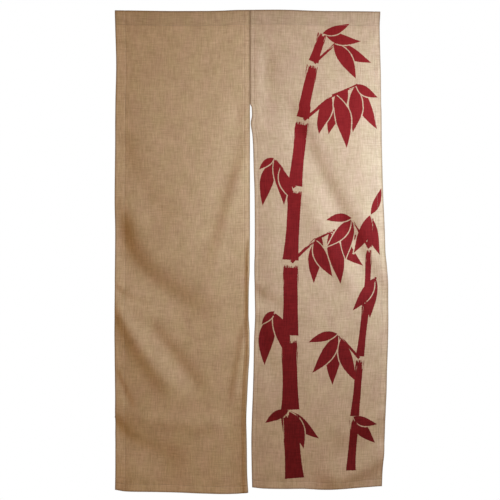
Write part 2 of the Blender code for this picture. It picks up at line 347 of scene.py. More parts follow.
# %% Waves and hem ripples
WAVE_LENGTH = 95 * MM
WAVE_HEIGHT = 1.1 * MM
WAVE_STRETCH = 0.7
WAVE_SLICE = 3.7
RIPPLE_LENGTH = 34 * MM
RIPPLE_HEIGHT = 0.55 * MM
RIPPLE_REACH = 32 * MM
RIPPLE_SLICE = WAVE_SLICE + 5


def noise_at(places):
    """Smooth noise between about -1 and 1, at each (a, b, c) place."""
    listed = places.reshape(-1, 3).tolist()
    values = np.array([noise.noise(Vector(place)) for place in listed])
    return values.reshape(places.shape[:-1])


def unevenness(x, drop, left, right):
    """Faint waves over the cloth and short ripples along its free sides."""
    wave_slice, ripple_slice = np.full(x.shape, WAVE_SLICE), np.full(x.shape, RIPPLE_SLICE)
    waves = noise_at(np.stack([x / WAVE_LENGTH, drop / WAVE_LENGTH * WAVE_STRETCH, wave_slice], axis=-1))
    to_side = np.minimum(x - left, right - x)
    which_side = np.sign(x - (left + right) / 2)
    ripples = noise_at(np.stack([which_side, drop / RIPPLE_LENGTH, ripple_slice], axis=-1))
    return WAVE_HEIGHT * waves + RIPPLE_HEIGHT * ripples * smooth_step(1 - to_side / RIPPLE_REACH)


# %% [markdown]
# ## How the cloth hangs
#
# All of this is gathered in one function of a place on the cloth. Inside the sleeve and beside the centre
# seam the cloth is held, so the folds grow from nothing there. The sleeve itself is a teardrop: round over
# the rod and closed by its stitch line. Its back half is fuller than its front half, because the flap is
# the looser side.

# %% Depth below the sleeve, and the sleeve's own section
FOLDS_BEGIN = 60 * MM
FOLDS_FULL = 170 * MM
SEAM_EDGE = 2 * MM
SEAM_HOLDS = 45 * MM
SEAM_LETS_GO = 90 * MM


def hang_depth(x, drop, left, right, panel):
    """The cloth's place along Y below the sleeve, at each point."""
    lift = sum(fold_lift(x, drop, fold) for fold in panel.folds)
    depth = curl_back(x, drop, left, right, panel.curls) - lift + unevenness(x, drop, left, right)
    free_of_sleeve = smooth_step((drop - FOLDS_BEGIN) / (FOLDS_FULL - FOLDS_BEGIN))
    free_of_seam = smooth_step((drop - SLIT_TOP) / SEAM_LETS_GO)
    away_from_seam = smooth_step((np.abs(x) - SEAM_EDGE) / SEAM_HOLDS)
    return depth * free_of_sleeve * np.maximum(free_of_seam, away_from_seam)


def sleeve_half_width(drop):
    """Half the width of the teardrop at a drop below the top edge."""
    round_part = np.sqrt(np.clip(SLEEVE_HALF**2 - (SLEEVE_HALF - drop) ** 2, 0, None))
    share = np.clip((drop - SLEEVE_HALF) / (SLEEVE_DROP - SLEEVE_HALF), 0, 1)
    return np.where(drop <= SLEEVE_HALF, round_part, SLEEVE_HALF * (0.5 + 0.5 * np.cos(math.pi * share)))


def sleeve_depth(drop, on_flap):
    """The section of the sleeve along Y, in front of the rod or, on the flap, behind it."""
    half = sleeve_half_width(drop)
    behind = SLEEVE_BACK_SHARE * half + FLAP_BACK * smooth_step(drop / SLEEVE_DROP)
    return np.where(on_flap, behind, -SLEEVE_FRONT_SHARE * half)


# %% [markdown]
# ## Laying out the cloth
#
# The cloth is one net of rows and columns. It could be evenly spaced, but a hem's fold is under 2 mm across
# and its stitches sit in a groove of about the same width, so lines are added there and the rest stays
# coarse. Rows run from the foot up the front, over the rod and down the back.

# %% Columns and rows of one panel
FIELD_STEP = 4.1 * MM
EDGE_STEPS = [0.0, 0.1 * MM, 0.35 * MM, 1.0 * MM, 2.2 * MM]
HEM_END_STEP = 0.7 * MM
SLEEVE_ROWS = 12
FOLD_OVER_STEPS = 9
ABOVE_FLAP_END = 2 * MM


def hem_lines(width):
    """Distances in from a hemmed edge: its round fold, the stitch groove and where the turned cloth ends."""
    stitch = width - STITCH_INSET
    groove = [stitch - GROOVE_HALF, stitch - GROOVE_HALF / 2, stitch, stitch + GROOVE_HALF / 2]
    field = np.linspace(EDGE_STEPS[-1], groove[0], 2 + int((groove[0] - EDGE_STEPS[-1]) / FIELD_STEP))
    return [*EDGE_STEPS, *field[1:-1], *groove, width, width + HEM_END_STEP]


def column_places(panel):
    """Distances from the panel's left side, and its nominal width."""
    width = (panel.edges[0].right - panel.edges[0].left) * MM
    left, right = hem_lines(panel.left_hem), hem_lines(panel.right_hem)
    field = np.arange(left[-1], width - right[-1], FIELD_STEP)[1:]
    return np.array([*left, *field, *[width - line for line in reversed(right)]]), width


def row_places():
    """(drop, whether it is on the flap) for each row."""
    foot = [NOMINAL_DROP - line for line in hem_lines(FOOT_HEM)]
    stitch = [SLEEVE_DROP + GROOVE_HALF, SLEEVE_DROP, SLEEVE_DROP - GROOVE_HALF]
    field = np.arange(foot[-1], FLAP_END, -FIELD_STEP)[1:]
    closing = np.linspace(stitch[-1], SLEEVE_HALF, SLEEVE_ROWS)[1:]
    turns = np.linspace(0, math.pi / 2, FOLD_OVER_STEPS)[1:]
    round_front = [SLEEVE_HALF * (1 - math.sin(turn)) for turn in turns]
    front = [*foot, *field, FLAP_END - ABOVE_FLAP_END, *stitch, *closing, *round_front]
    flap_end = [FLAP_END - step for step in reversed(EDGE_STEPS)]
    on_flap = [*reversed(round_front[:-1]), *reversed(closing), *reversed(stitch), *flap_end]
    return np.array(front + on_flap), np.array([False] * len(front) + [True] * len(on_flap))


drops, flap_rows = row_places()
print(len(drops), "rows, of which", int(flap_rows.sum()), "on the sleeve's flap")

# %% [markdown]
# ## One closed skin
#
# Cloth can be a single sheet of faces, but a single sheet has no edge and no back to its hems. Here each
# row is a closed loop instead: across the front, round the hem's fold and back again behind it, as far
# behind as the cloth is thick. The layers of a hem then show from behind as a step.

# %% Hanging a net of places
def place_on_panel(share, drop, panel):
    """(x, z, left side, right side) of each point, from its share of the width and its drop."""
    left, right = curve(panel.edges, drop, "left"), curve(panel.edges, drop, "right")
    x = left + share * (right - left)
    top, foot = curve(TOP_LEVELS, x, "height", "x"), curve(panel.foot, x, "height", "x")
    return x, top - drop * (foot + top) / NOMINAL_DROP, left, right


def hang(share, drop, on_flap, panel):
    """The outer face of the cloth at each place, as points."""
    x, z, left, right = place_on_panel(share, drop, panel)
    y = sleeve_depth(drop, on_flap) + np.where(on_flap, 0.0, hang_depth(x, drop, left, right, panel))
    return np.stack([x, y, z], axis=-1)


def outward(points):
    """The direction that the outer face looks, at each point of a net."""
    across, along = np.gradient(points, axis=1), np.gradient(points, axis=0)
    facing = np.cross(across, along)
    return facing / np.linalg.norm(facing, axis=-1, keepdims=True)


# %% Layers of a hem and its stitch groove
GROOVE_SOFTNESS = 0.6
ROUND_AT_MOST = 0.9
HAIR = 1e-6


def groove(distance):
    """A soft dent under a line of stitches."""
    return GROOVE_DEPTH * np.exp(-((distance / (GROOVE_SOFTNESS * GROOVE_HALF)) ** 2))


def layers(from_left, from_right, drop, on_flap, panel):
    """Thickness, rounding at edges, dents, where the cloth is doubled, and where shade is painted."""
    to_foot = np.where(on_flap, np.inf, NOMINAL_DROP - drop)
    to_end = np.where(on_flap, FLAP_END - drop, np.inf)
    hemmed = (
        (from_left <= panel.left_hem + HAIR)
        | (from_right <= panel.right_hem + HAIR)
        | (to_foot <= FOOT_HEM + HAIR)
        | (on_flap & (drop >= FLAP_DOUBLE_FROM))
    )
    thick = np.where(hemmed, HEM_CLOTH, CLOTH)
    to_edge = np.minimum(np.minimum(from_left, from_right), np.minimum(to_foot, to_end))
    radius = thick / 2
    round_over = radius - np.sqrt(np.clip(radius**2 - np.clip(radius - to_edge, 0, None) ** 2, 0, None))
    round_over = np.minimum(round_over, ROUND_AT_MOST * radius)
    dent = (
        groove(from_left - panel.left_hem + STITCH_INSET)
        + groove(from_right - panel.right_hem + STITCH_INSET)
        + groove(to_foot - FOOT_HEM + STITCH_INSET)
        + groove(drop - SLEEVE_DROP)
    )
    dent = np.minimum(dent, GROOVE_DEPTH)
    # Painted shade along every edge, along the top fold and in the stitch grooves.
    rim = smooth_step(1 - np.minimum(to_edge, drop) / EDGE_SHADE_REACH)
    painted_shade = np.maximum(GROOVE_SHADE * dent / GROOVE_DEPTH, rim)
    return thick, round_over, dent, hemmed.astype(float), painted_shade


# %% A closed skin from two faces of cloth
SHARP_TURN = math.radians(60)


def put_in_scene(name, data):
    """A new object with this mesh, camera or light."""
    made = bpy.data.objects.new(name, data)
    bpy.context.scene.collection.objects.link(made)
    return made


def closed_skin(name, outer, inner):
    """A mesh whose every row is a loop: out along the outer face and back along the inner one."""
    rows, columns = outer.shape[:2]
    loops = np.concatenate([outer, inner[:, ::-1]], axis=1).reshape(-1, 3)
    ring = 2 * columns
    row, place = np.meshgrid(np.arange(rows - 1), np.arange(ring), indexing="ij")
    after = (place + 1) % ring
    here, above = row * ring, (row + 1) * ring
    walls = np.stack([here + place, here + after, above + after, above + place], -1)
    step = np.arange(columns - 1)
    foot_cap = np.stack([step, ring - 1 - step, ring - 2 - step, step + 1], -1)
    top_cap = foot_cap[:, ::-1] + (rows - 1) * ring
    faces = np.concatenate([walls.reshape(-1, 4), foot_cap, top_cap])
    mesh = bpy.data.meshes.new(name)
    mesh.from_pydata(loops.tolist(), [], faces.tolist())
    mesh.validate()
    mesh.shade_smooth()
    mesh.set_sharp_from_angle(angle=SHARP_TURN)
    return put_in_scene(name, mesh)


def remember(piece, name, outer, inner):
    """Stores a number or a vector for each point of a skin, which its material can read."""
    values = np.concatenate([outer, inner[:, ::-1]], axis=1).astype(np.float32)
    kind, field = ("FLOAT_VECTOR", "vector") if values.ndim == 3 else ("FLOAT", "value")
    piece.data.attributes.new(name, kind, "POINT").data.foreach_set(field, values.ravel())


# %% The cloth of each panel
def make_panel(panel):
    """One length of cloth with its hems and its half of the sleeve."""
    columns, width = column_places(panel)
    from_left, drop = np.meshgrid(columns, drops)
    on_flap = np.repeat(flap_rows[:, None], len(columns), axis=1)
    points = hang(from_left / width, drop, on_flap, panel)
    thick, round_over, dent, doubled, painted_shade = layers(from_left, width - from_left, drop, on_flap, panel)
    facing = outward(points)
    outer = points - facing * (round_over + dent)[..., None]
    inner = points - facing * (thick - round_over)[..., None]
    piece = closed_skin(panel.name + "_cloth", outer, inner)
    along = np.where(on_flap, -drop, drop)
    on_outer, on_inner = (np.stack([from_left, along, side], axis=-1) for side in (drop * 0 + 1, drop * 0))
    remember(piece, "flat", on_outer, on_inner)
    remember(piece, "doubled", doubled, doubled)
    # Where shade is painted along the edges and in the stitch grooves.
    remember(piece, "painted_shade", painted_shade, painted_shade)
    print(piece.name, "has", 2 * len(piece.data.polygons), "triangles")
    return piece


cloths = {panel.name: make_panel(panel) for panel in PANELS}

# %% [markdown]
# ## Stitches
#
# A line of machine stitches holds each hem 2.5 mm from its inner edge, and one line closes the sleeve. The
# centre seam's thread is drawn in between the two panels and doesn't show, so it isn't made. Stitches could
# be a dashed pattern in the surface, but then they would be flat. Each stitch here is a small bar of thread
# with tapered ends, pressed a little into the groove, and all the stitches of a panel are joined into one
# mesh. A row of the table is one ring of points round the bar: its place along the stitch, how thick the
# bar is there, and how high it rides, both as shares of the thread's radius.

# %% A line of stitches
STITCH_PITCH = 3.4 * MM
STITCH_LENGTH = 2.7 * MM
THREAD_RADIUS = 0.26 * MM
THREAD_SIDES = 5

Ring = namedtuple("Ring", "place swell lift")
THREAD_RINGS = [
    Ring(-0.5, 0.35, -0.9),
    Ring(-0.3, 0.95, 0.2),
    Ring(0.3, 0.95, 0.2),
    Ring(0.5, 0.35, -0.9),
]


def stitched_line(start, end):
    """The middles and both ends of the stitches on a line between two (from_left, drop) places."""
    start, end = np.array(start), np.array(end)
    length = np.linalg.norm(end - start)
    count = int(length / STITCH_PITCH)
    middles = (np.arange(count) + 0.5) / count
    half = STITCH_LENGTH / 2 / length
    return [start + (end - start) * (middles + shift)[:, None] for shift in (0, -half, half)]


def thread_bars(middle, first, last, facing):
    """The points of each stitch's bar, ring by ring."""
    along = last - first
    length = np.linalg.norm(along, axis=1, keepdims=True)
    along = along / length
    side = np.cross(along, facing)
    rings = []
    for ring in THREAD_RINGS:
        centre = middle + along * length * ring.place + facing * THREAD_RADIUS * ring.lift
        for corner in range(THREAD_SIDES):
            turn = 2 * math.pi * corner / THREAD_SIDES
            spoke = side * math.cos(turn) + facing * math.sin(turn)
            rings.append(centre + spoke * THREAD_RADIUS * ring.swell)
    return np.stack(rings, axis=1)


def bar_faces(count):
    """Faces of every bar: its sides and its two ends."""
    faces = []
    rings = len(THREAD_RINGS)
    for ring in range(rings - 1):
        for corner in range(THREAD_SIDES):
            after = (corner + 1) % THREAD_SIDES
            low, high = ring * THREAD_SIDES, (ring + 1) * THREAD_SIDES
            faces.append([low + corner, low + after, high + after, high + corner])
    first_end = list(range(THREAD_SIDES))[::-1]
    last_end = [(rings - 1) * THREAD_SIDES + corner for corner in range(THREAD_SIDES)]
    faces = [*faces, first_end, last_end]
    points = rings * THREAD_SIDES
    return [[bar * points + corner for corner in face] for bar in range(count) for face in faces]


# %% Where the stitches run
BELOW_SLEEVE = 6 * MM
FROM_CORNER = 2 * MM
FROM_SIDE = 1.5 * MM
NUDGE = 0.5 * MM


def stitch_routes(panel, width):
    """Where the lines of stitches run, as (from_left, drop) at both ends of each."""
    left = panel.left_hem - STITCH_INSET
    right = width - panel.right_hem + STITCH_INSET
    foot = NOMINAL_DROP - FOOT_HEM + STITCH_INSET
    top, bottom = SLEEVE_DROP + BELOW_SLEEVE, NOMINAL_DROP - FROM_CORNER
    return [
        ((left, top), (left, bottom)),
        ((right, top), (right, bottom)),
        ((FROM_CORNER, foot), (width - FROM_CORNER, foot)),
        ((FROM_SIDE, SLEEVE_DROP), (width - FROM_SIDE, SLEEVE_DROP)),
    ]


def surface_at(place, panel, width):
    """The outer face and its direction at single (from_left, drop) places."""
    on_flap = np.zeros(len(place), bool)
    share, drop = place[:, 0] / width, place[:, 1]
    point = hang(share, drop, on_flap, panel)
    aside = hang(share + NUDGE / width, drop, on_flap, panel) - point
    above = hang(share, drop - NUDGE, on_flap, panel) - point
    facing = np.cross(aside, above)
    return point, facing / np.linalg.norm(facing, axis=1, keepdims=True)


# %% The stitches of each panel, on its face and on its back
STITCH_SINK = 0.75 * GROOVE_DEPTH


def make_stitches(panel):
    """All the stitches of one panel as one mesh."""
    _, width = column_places(panel)
    bars = []
    for start, end in stitch_routes(panel, width):
        middle, first, last = stitched_line(start, end)
        at_middle, facing = surface_at(middle, panel, width)
        at_first, _ = surface_at(first, panel, width)
        at_last, _ = surface_at(last, panel, width)
        sink = facing * STITCH_SINK
        bars.append(thread_bars(at_middle - sink, at_first - sink, at_last - sink, facing))
        depth = facing * (FLAP_BACK if start[1] == SLEEVE_DROP else HEM_CLOTH)
        bars.append(thread_bars(at_middle - depth, at_first - depth, at_last - depth, -facing))
    bars = np.concatenate(bars)
    mesh = bpy.data.meshes.new(panel.name + "_stitches")
    mesh.from_pydata(bars.reshape(-1, 3).tolist(), [], bar_faces(len(bars)))
    mesh.shade_smooth()
    piece = put_in_scene(mesh.name, mesh)
    print(piece.name, "has", len(bars), "stitches")
    return piece


stitches = {panel.name: make_stitches(panel) for panel in PANELS}

# %% [markdown]
# ## Writing shader maths as sums
#
# A material is a net of small nodes, and maths is hard to read there. The class below wraps one output of a
# node, so that `1 - mask` or `warp * 0.5 + weft` adds the Math nodes by itself. Sums can be written with a
# node for each step instead, but then nobody sees the formula. A Math node would turn a colour grey, so
# colours go through Mix nodes and vectors through Vector Math nodes. Everything else comes from `node`.

# %% A wire that understands arithmetic
class Wire:
    """One output of a node in a material."""

    def __init__(self, tree, socket):
        self.tree = tree
        self.socket = socket

    def maths(self, operation, *others):
        return node(self.tree, "ShaderNodeMath", {"operation": operation}, dict(enumerate([self, *others])))

    def vector_maths(self, operation, *others, output="Vector"):
        sockets = dict(enumerate([self, *others]))
        return node(self.tree, "ShaderNodeVectorMath", {"operation": operation}, sockets, output)

    def __add__(self, other):
        return self.maths("ADD", other)

    def __sub__(self, other):
        return self.maths("SUBTRACT", other)

    def __rsub__(self, other):
        return self * -1 + other

    def __mul__(self, other):
        return self.maths("MULTIPLY", other)

    def __abs__(self):
        return self.maths("ABSOLUTE")

    __radd__ = __add__
    __rmul__ = __mul__


# %% Any node, and the wires that come out of it
def node(tree, kind, settings=None, sockets=None, output=0):
    """Any node: its settings first, then the values or wires of its sockets."""
    made = tree.nodes.new(kind)
    for name, value in (settings or {}).items():
        setattr(made, name, value)
    for name, value in (sockets or {}).items():
        plug(tree, value, made.inputs[name])
    return Wire(tree, made.outputs[output]) if len(made.outputs) else made


def plug(tree, value, socket):
    """Links a wire to a socket, or sets the socket's value."""
    if isinstance(value, Wire):
        tree.links.new(value.socket, socket)
    else:
        socket.default_value = value


def all_outputs(wire):
    """A wire for each output of the node that this wire comes from."""
    return [Wire(wire.tree, output) for output in wire.socket.node.outputs]


def parts(vector):
    """The three numbers of a vector."""
    return all_outputs(node(vector.tree, "ShaderNodeSeparateXYZ", None, {0: vector}))


# %% Colours, steps and grain
FIRST_COLOUR, SECOND_COLOUR, MIXED_COLOUR = 6, 7, 2
GRAIN_ROUGHNESS = 0.6


def mixed(tree, share, first, second, blend="MIX"):
    """Two colours mixed by a share from 0 to 1."""
    sockets = {"Factor": share, FIRST_COLOUR: first, SECOND_COLOUR: second}
    return node(tree, "ShaderNodeMix", {"data_type": "RGBA", "blend_type": blend}, sockets, MIXED_COLOUR)


def spread(value, low, high):
    """The value's way from low to high, as 0 to 1 and no further."""
    sockets = {"Value": value, "From Min": low, "From Max": high}
    return node(value.tree, "ShaderNodeMapRange", {"clamp": True}, sockets)


def grain(place, across, along, detail=2.0, shift=0.0):
    """Noise about 0, with so many grains to the metre across the cloth and along it."""
    scaled = place.vector_maths("MULTIPLY", (across, along, 1.0)).vector_maths("ADD", (shift, shift, shift))
    sockets = {"Vector": scaled, "Scale": 1.0, "Detail": detail, "Roughness": GRAIN_ROUGHNESS}
    return node(place.tree, "ShaderNodeTexNoise", {"noise_dimensions": "2D"}, sockets) - 0.5


# %% A new material, and its finish
def new_material(name):
    """A plain material, its nodes and its surface shader."""
    material = bpy.data.materials.new(name)
    material.use_nodes = True
    shader = material.node_tree.nodes["Principled BSDF"]
    return material, material.node_tree, shader


def give_finish(shader, colour, roughness, relief):
    """Plugs a colour, a roughness and the (height, strength, depth) of a relief into a shader."""
    tree = colour.tree
    height, strength, depth = relief
    bump = node(tree, "ShaderNodeBump", None, {"Strength": strength, "Distance": depth, "Height": height})
    plug(tree, colour, shader.inputs["Base Color"])
    plug(tree, roughness, shader.inputs["Roughness"])
    plug(tree, bump, shader.inputs["Normal"])


# %% [markdown]
# ## The painted bamboo
#
# The print is a painting, so it is described as a painter would make it: a few broad strokes for the cane,
# a gap at each joint, thin twigs, and leaves that are pressed wide and lifted to a point. Each stroke is
# one row. A small group of nodes turns a row into the distance from the stroke's rim, and the least of all
# the distances is the whole painting. That stays sharp however close the camera comes, which colours stored
# on the mesh would not. The brush runs dry towards the end of a cane's stroke, where its hairs leave
# streaks bare. Where leaves overlap, a thin bare line between them keeps each leaf whole.

# %% Tables of the strokes, in millimetres across and down the right panel
Stroke = namedtuple("Stroke", "across down to_across to_down half_width")
CANES = [
    Stroke(132, 1466, 116, 1268, 30),
    Stroke(115, 1252, 106, 1036, 28),
    Stroke(106, 1019, 110, 800, 27),
    Stroke(110, 783, 126, 566, 25),
    Stroke(127, 550, 156, 350, 23),
    Stroke(158, 336, 194, 172, 20),
    Stroke(196, 160, 226, 72, 16),
    Stroke(304, 1440, 310, 1286, 15),
    Stroke(310, 1273, 320, 1098, 14),
    Stroke(320, 1086, 336, 914, 13),
    Stroke(337, 903, 352, 752, 11),
    Stroke(353, 742, 361, 650, 8.5),
]
TWIGS = [
    Stroke(162, 342, 255, 264, 5.5),
    Stroke(252, 266, 330, 232, 4.5),
    Stroke(198, 164, 268, 100, 4.5),
    Stroke(126, 556, 66, 470, 5.5),
    Stroke(113, 790, 188, 716, 5.5),
    Stroke(186, 718, 238, 690, 4.2),
    Stroke(105, 1026, 56, 950, 5.0),
    Stroke(353, 746, 300, 655, 4.2),
    Stroke(337, 906, 368, 838, 4.0),
    Stroke(318, 1092, 256, 1018, 4.5),
]

Leaf = namedtuple("Leaf", "across down angle length half_width bend")
LEAVES = [
    Leaf(328, 232, 66, 150, 22, 0.05),
    Leaf(322, 236, 94, 145, 20.5, -0.04),
    Leaf(300, 244, 114, 155, 23, 0.05),
    Leaf(262, 262, 80, 170, 23, -0.05),
    Leaf(250, 268, 110, 125, 19, 0.04),
    Leaf(326, 230, 30, 78, 14, 0.06),
    Leaf(266, 98, 30, 125, 19, 0.06),
    Leaf(260, 100, 60, 130, 20.5, -0.04),
    Leaf(230, 66, 14, 118, 16.5, 0.08),
    Leaf(226, 70, -20, 90, 13, 0.05),
    Leaf(66, 470, 106, 150, 20.5, 0.05),
    Leaf(66, 468, 80, 145, 19, -0.05),
    Leaf(84, 496, 68, 110, 16.5, 0.05),
    Leaf(64, 464, 142, 60, 10, 0.05),
    Leaf(238, 690, 50, 145, 22, 0.05),
    Leaf(230, 693, 80, 165, 23, -0.04),
    Leaf(205, 706, 100, 150, 20.5, 0.05),
    Leaf(240, 686, 16, 95, 14, 0.07),
    Leaf(185, 718, 66, 125, 19, 0.04),
    Leaf(360, 646, 78, 125, 16.5, 0.05),
    Leaf(358, 642, 114, 130, 18, -0.04),
    Leaf(361, 640, -66, 92, 11.5, 0.04),
    Leaf(300, 655, 100, 125, 19, 0.04),
    Leaf(298, 654, 132, 112, 16.5, -0.04),
    Leaf(300, 650, 176, 80, 13, 0.06),
    Leaf(56, 950, 98, 165, 23, 0.05),
    Leaf(56, 948, 72, 150, 20.5, -0.05),
    Leaf(58, 944, 132, 56, 10, 0.04),
    Leaf(366, 838, 98, 130, 18, 0.05),
    Leaf(362, 842, 124, 120, 16.5, -0.04),
    Leaf(256, 1018, 96, 155, 22, 0.05),
    Leaf(252, 1016, 122, 140, 19, -0.04),
    Leaf(262, 1026, 70, 150, 19, 0.05),
    Leaf(250, 1012, 162, 90, 14, 0.05),
    Leaf(306, 1272, 52, 112, 18, 0.05),
    Leaf(306, 1275, 20, 78, 13, 0.06),
    Leaf(112, 1256, 42, 125, 18, 0.05),
    Leaf(112, 1258, 68, 125, 18, -0.05),
    Leaf(110, 1254, 150, 80, 14, 0.05),
]
print(len(CANES), "cane strokes,", len(TWIGS), "twigs and", len(LEAVES), "leaves")

# %% A group of nodes that measures the distance to one stroke
VECTOR_INPUTS = ["Place", "Start", "Along", "Across"]
NUMBER_INPUTS = ["Length", "Half width", "Bend"]
CANE_WAIST = 0.2
LEAF_SHOULDER = 1.35
LEAF_TAPER = 0.7

DRY_HAIRS = 420.0
DRY_LENGTH = 2.5
DRY_SHIFT = 90.0
DRY_WAY = (0.55, 1.05)
DRY_MORE = 0.22
DRY_STREAKS = (0.60, 0.74)
DRY_REACH = 9 * MM


def dry_brush(from_start, across, way, length):
    """How far the hairs of a brush that is running dry leave the cloth bare, towards the end of a stroke."""
    tree = way.tree
    hair = from_start.vector_maths("DOT_PRODUCT", across, output="Value") * DRY_HAIRS
    place = node(tree, "ShaderNodeCombineXYZ", None, {"X": hair, "Y": way * DRY_LENGTH})
    shift = node(tree, "ShaderNodeCombineXYZ", None, {"X": length * DRY_SHIFT})
    sockets = {"Vector": place.vector_maths("ADD", shift), "Scale": 1.0, "Detail": 2.0}
    streak = node(tree, "ShaderNodeTexNoise", {"noise_dimensions": "2D"}, sockets)
    runs_dry = spread(way, *DRY_WAY)
    return spread(streak + runs_dry * DRY_MORE, *DRY_STREAKS) * runs_dry * DRY_REACH


def stroke_group(name, leaf):
    """Distance from the rim of one brush stroke, less than nothing inside it."""
    tree = bpy.data.node_groups.new(name, "ShaderNodeTree")
    for title in VECTOR_INPUTS + NUMBER_INPUTS:
        kind = "NodeSocketVector" if title in VECTOR_INPUTS else "NodeSocketFloat"
        tree.interface.new_socket(name=title, in_out="INPUT", socket_type=kind)
    tree.interface.new_socket(name="Distance", in_out="OUTPUT", socket_type="NodeSocketFloat")
    given = all_outputs(node(tree, "NodeGroupInput"))
    place, start, along, across, length, half_width, bend = given[: len(VECTOR_INPUTS + NUMBER_INPUTS)]
    from_start = place.vector_maths("SUBTRACT", start)
    way = from_start.vector_maths("DOT_PRODUCT", along, output="Value")
    swell = (way * (1 - way) * 4).maths("MAXIMUM", 0.0)
    aside = abs(from_start.vector_maths("DOT_PRODUCT", across, output="Value") - bend * swell)
    profile = swell * (LEAF_SHOULDER - way * LEAF_TAPER) if leaf else 1 - swell * CANE_WAIST
    past_end = (abs(way - 0.5) - 0.5) * length
    distance = (aside - half_width * profile).maths("MAXIMUM", past_end)
    if not leaf:
        distance = distance + dry_brush(from_start, across, way, length)
    node(tree, "NodeGroupOutput", None, {"Distance": distance})
    return tree


def stroke_distance(place, group, start, end, half_width, bend):
    """The group, set up for one stroke from start to end, in metres."""
    start, end = Vector((*start, 0)), Vector((*end, 0))
    length = (end - start).length
    along = (end - start) / length
    sockets = {
        "Place": place,
        "Start": start,
        "Along": along / length,
        "Across": Vector((-along.y, along.x, 0)),
        "Length": length,
        "Half width": half_width,
        "Bend": bend * length,
    }
    return node(place.tree, "ShaderNodeGroup", {"node_tree": group}, sockets)


# %% The whole painting
BARE_LINE = 3.2 * MM

cane_group = stroke_group("cane stroke", leaf=False)
leaf_group = stroke_group("leaf stroke", leaf=True)
print("A leaf's group has", len(leaf_group.nodes), "nodes, and a cane's group has", len(cane_group.nodes))


def leaf_tip(leaf):
    angle = math.radians(leaf.angle)
    return leaf.across + leaf.length * math.cos(angle), leaf.down + leaf.length * math.sin(angle)


def painting_distance(place):
    """Distance from the rim of the nearest stroke of the bamboo."""
    leaves = [
        (leaf_group, (leaf.across, leaf.down), leaf_tip(leaf), leaf.half_width, leaf.bend)
        for leaf in LEAVES
    ]
    canes = [
        (cane_group, (cane.across, cane.down), (cane.to_across, cane.to_down), cane.half_width, 0.0)
        for cane in CANES + TWIGS
    ]
    nearest = None
    for group, start, end, half_width, bend in leaves + canes:
        start, end = (tuple(number * MM for number in point) for point in (start, end))
        distance = stroke_distance(place, group, start, end, half_width * MM, bend)
        if nearest is None:
            nearest = distance
            continue
        if group is leaf_group:
            nearest = nearest.maths("MAXIMUM", BARE_LINE - distance)
        nearest = nearest.maths("MINIMUM", distance)
    return nearest


# %% [markdown]
# ## Linen
#
# Linen-look yarn is spun thick and thin, so the cloth is full of faint streaks along both directions of the
# weave: hair-fine ones, broader ones, and now and then a slub. Stretched noise gives each kind. The weave
# itself is a product of two waves, which rises where one yarn passes over the other, and it goes into a
# bump. A picture of cloth could be laid on instead, but it would blur close by and repeat over such a
# length.
#
# Broad patches turn a little rosy or golden, and each panel was cut from its own length, with its own
# slight tint. Those tints also paint light: the brightly lit right panel is greyer and the shaded left
# one warmer. The doubled cloth of the hems is a little lighter. The sleeve is painted a little darker, as
# shade where the doubled cloth lets less light through, and painted shade also darkens every edge, the
# top fold and the grooves of the stitches. Ink lies on the yarns, darker where it pooled, and shows
# faintly from behind.

# %% The linen's colours
LINEN_DARK = (0.43, 0.281, 0.163, 1.0)
LINEN_LIGHT = (0.66, 0.456, 0.282, 1.0)
LINEN_HEM = (1.07, 1.08, 1.10, 1.0)
# Painted shade over the sleeve, where the doubled cloth lets less light through.
LINEN_SLEEVE_SHADE = (0.88, 0.87, 0.86, 1.0)
# Painted shade for the edges, the top fold and the stitch grooves.
LINEN_PAINTED_SHADE = (0.54, 0.50, 0.46, 1.0)
LINEN_ROSY = (1.02, 0.985, 1.01, 1.0)
LINEN_GOLDEN = (0.985, 1.01, 0.95, 1.0)
# Each length's own tint, which also paints light: greyer for the lit right panel, warmer for the shaded left.
LINEN_WARM_LENGTH_AND_SHADE = (1.01, 0.997, 0.965, 1.0)
LINEN_GREY_LENGTH_AND_LIGHT = (0.995, 0.995, 1.06, 1.0)

# %% The yarns: streaks to the metre, and how strongly each kind shows
Streaks = namedtuple("Streaks", "aside lengthwise shift_down shift_across")
FINE_STREAKS = Streaks(900, 45, 1.0, 7.0)
BROAD_STREAKS = Streaks(300, 24, 3.0, 11.0)
SLUB_STREAKS = Streaks(480, 40, 19.0, 23.0)
FINE_SHOWS = 0.6
FINE_DOWN = 1.25
BROAD_SHOWS = 0.85
BROAD_DOWN = 1.3
SLUB_SHOWS = 0.9
SLUB_FROM = 0.14
MOTTLE_PATCHES = 18
MOTTLE_SHIFT = 5.0
MOTTLE_SHOWS = 0.5
YARN_PITCH = 1.15 * MM


def both_ways(flat, streaks, detail=2.0):
    """The same streaks twice: down the cloth, and across it."""
    down = grain(flat, streaks.aside, streaks.lengthwise, detail, streaks.shift_down)
    across = grain(flat, streaks.lengthwise, streaks.aside, detail, streaks.shift_across)
    return down, across


def yarn_tone(flat):
    """How light each yarn is, about 0, from streaks down and across and a broad mottle."""
    fine_down, fine_across = both_ways(flat, FINE_STREAKS)
    broad_down, broad_across = both_ways(flat, BROAD_STREAKS)
    slub_down, slub_across = both_ways(flat, SLUB_STREAKS, detail=0.0)
    fine = fine_down * FINE_DOWN + fine_across
    broad = broad_down * BROAD_DOWN + broad_across
    slubs = slub_down.maths("MAXIMUM", SLUB_FROM) + slub_across.maths("MAXIMUM", SLUB_FROM) - 2 * SLUB_FROM
    mottle = grain(flat, MOTTLE_PATCHES, MOTTLE_PATCHES, shift=MOTTLE_SHIFT)
    return fine * FINE_SHOWS + broad * BROAD_SHOWS - slubs * SLUB_SHOWS + mottle * MOTTLE_SHOWS


